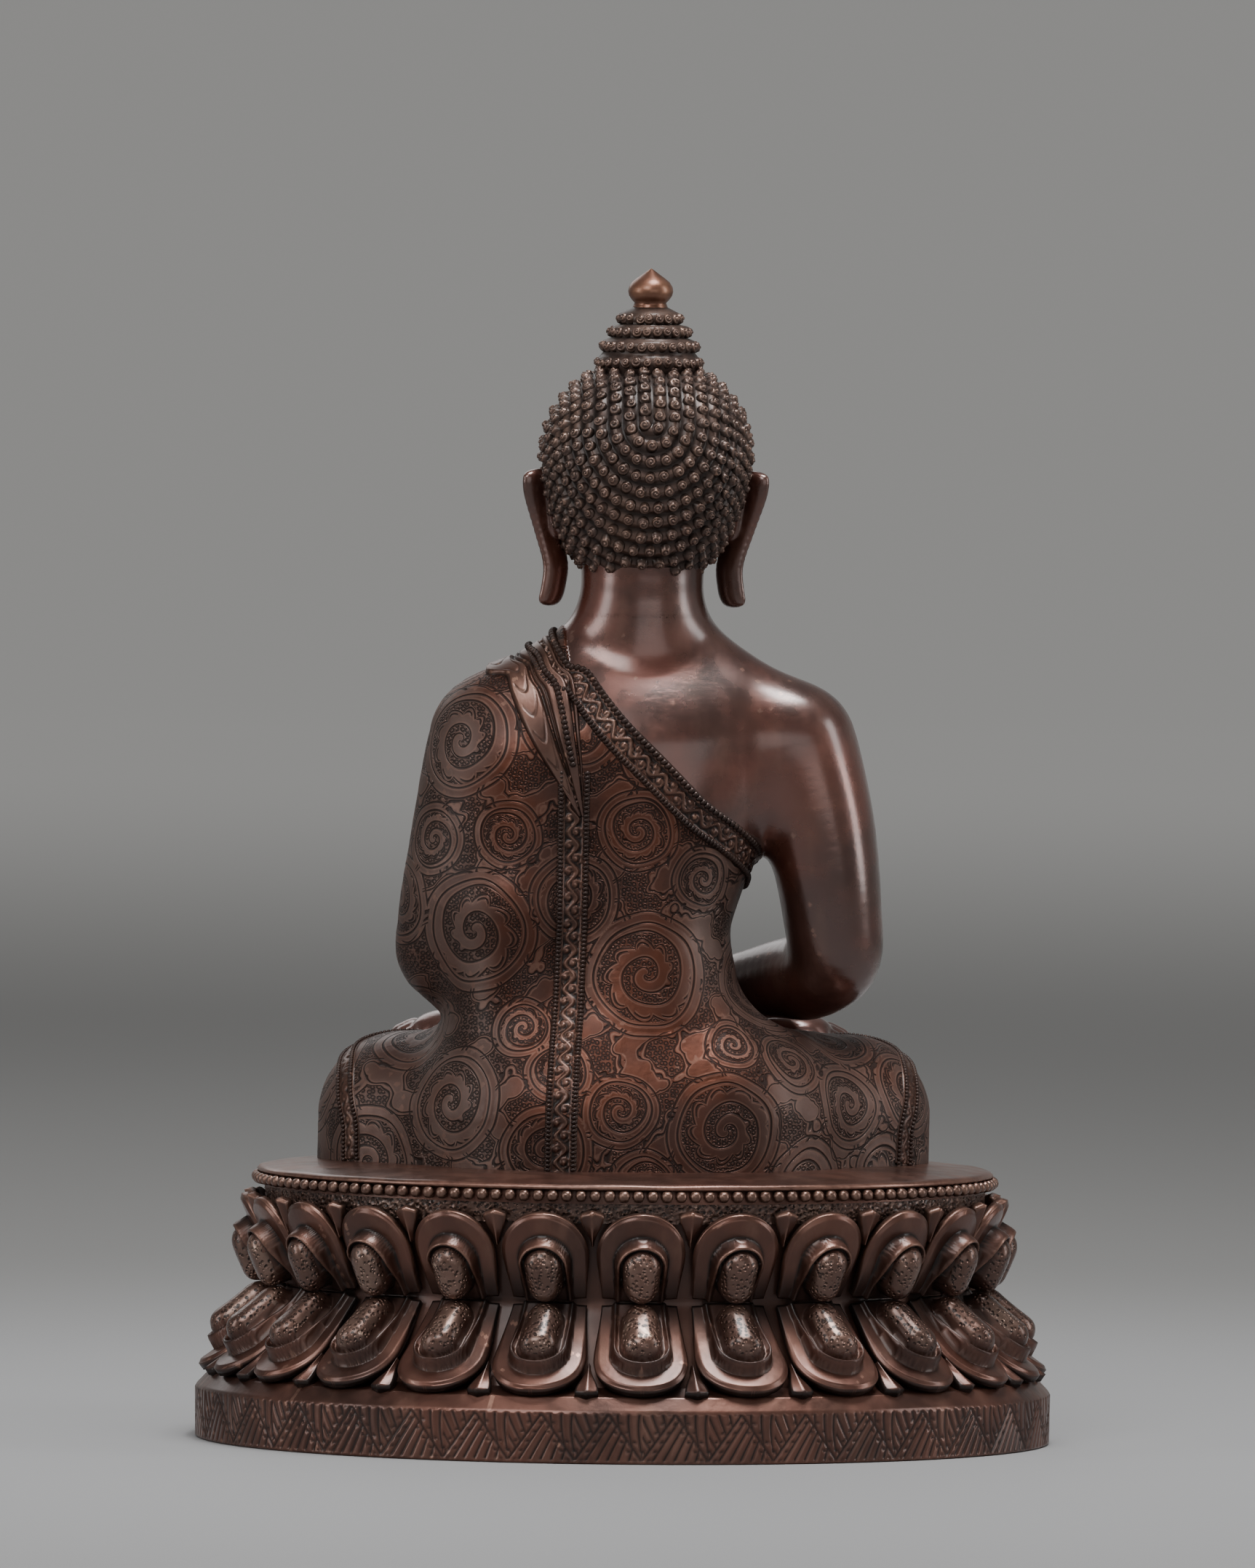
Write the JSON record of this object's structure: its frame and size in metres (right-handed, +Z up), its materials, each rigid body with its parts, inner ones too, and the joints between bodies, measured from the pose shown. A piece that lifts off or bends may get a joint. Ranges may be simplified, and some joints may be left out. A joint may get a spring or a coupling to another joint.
{
  "type": "seated buddha statue",
  "caption": "Seated figure in a one-shoulder robe, hands in its lap, on an oval double lotus pedestal with a beaded rim; cast and chased oxidised copper.",
  "frame": {"origin": "centre of the pedestal's underside, where the statue stands", "axes": "+Z up, the figure faces -Y, its right side is on -X"},
  "size_m": [0.1572, 0.1202, 0.215],
  "materials": {
    "pedestal_copper": "antiqued oxidised copper, rubbed lighter on edges, dark in recesses",
    "robe_copper": "antiqued oxidised copper, chased all over with fine scrolls",
    "trim_copper": "antiqued oxidised copper, relief bands with rubbed beading",
    "skin_copper": "smooth polished oxidised copper with a soft sheen",
    "hair_copper": "antiqued oxidised copper with rubbed tips",
    "jewel_copper": "smooth rubbed copper"
  },
  "bodies": {
    "root": {"plinth": "pedestal_copper", "sealing_plate": "pedestal_copper", "lotus_drum": "pedestal_copper", "pitted_collar": "pedestal_copper", "deck": "pedestal_copper", "bead_row": "pedestal_copper", "upper_petals": "pedestal_copper", "upper_small_petals": "pedestal_copper", "lower_petals": "pedestal_copper", "lower_small_petals": "pedestal_copper", "tenon_pins": "pedestal_copper", "legs": "robe_copper", "torso": "robe_copper", "left_arm": "robe_copper", "robe_hem": "trim_copper", "back_band": "trim_copper", "shoulder_fold": "trim_copper", "head": "skin_copper", "right_arm": "skin_copper", "right_hand": "skin_copper", "left_hand": "skin_copper", "right_foot": "skin_copper", "left_foot": "skin_copper", "left_ear": "skin_copper", "right_ear": "skin_copper", "hair_cap": "hair_copper", "crown": "hair_copper", "finial": "jewel_copper"}
  },
  "joints": []
}
